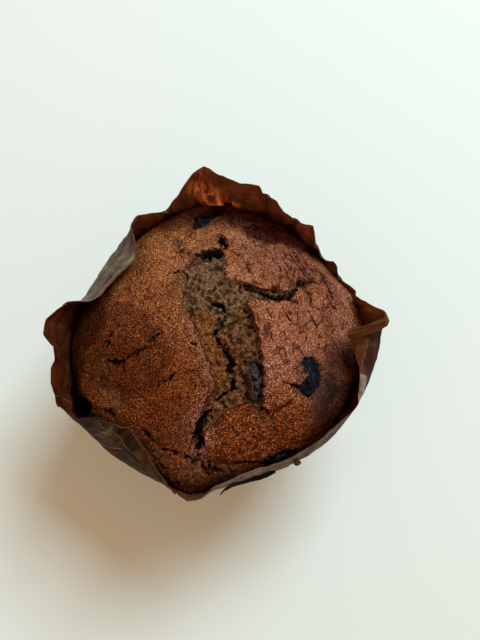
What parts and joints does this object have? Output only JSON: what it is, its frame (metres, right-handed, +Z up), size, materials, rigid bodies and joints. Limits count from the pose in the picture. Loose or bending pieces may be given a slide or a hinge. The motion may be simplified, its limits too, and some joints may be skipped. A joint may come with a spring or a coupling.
{
  "type": "muffin",
  "caption": "Dark muffin with a split crusted top and baked-in berries, in a crumpled brown tulip paper case with corner petals.",
  "frame": {"origin": "centre of the paper case's flat foot, on the table plane", "axes": "+Z up out of the case; +Y towards the tallest petal; +X towards the pointed petal on the right of the split"},
  "size_m": [0.0911, 0.0887, 0.0851],
  "materials": {
    "crust": "baked crust, grainy and matte",
    "berry": "baked berry skin, moist",
    "paper": "brown baking parchment, greasy inside"
  },
  "bodies": {
    "root": {"cake": "crust", "berry_right": "berry", "berry_back": "berry", "berry_split": "berry", "berry_left": "berry", "berry_front": "berry", "paper_case": "paper"}
  },
  "joints": []
}
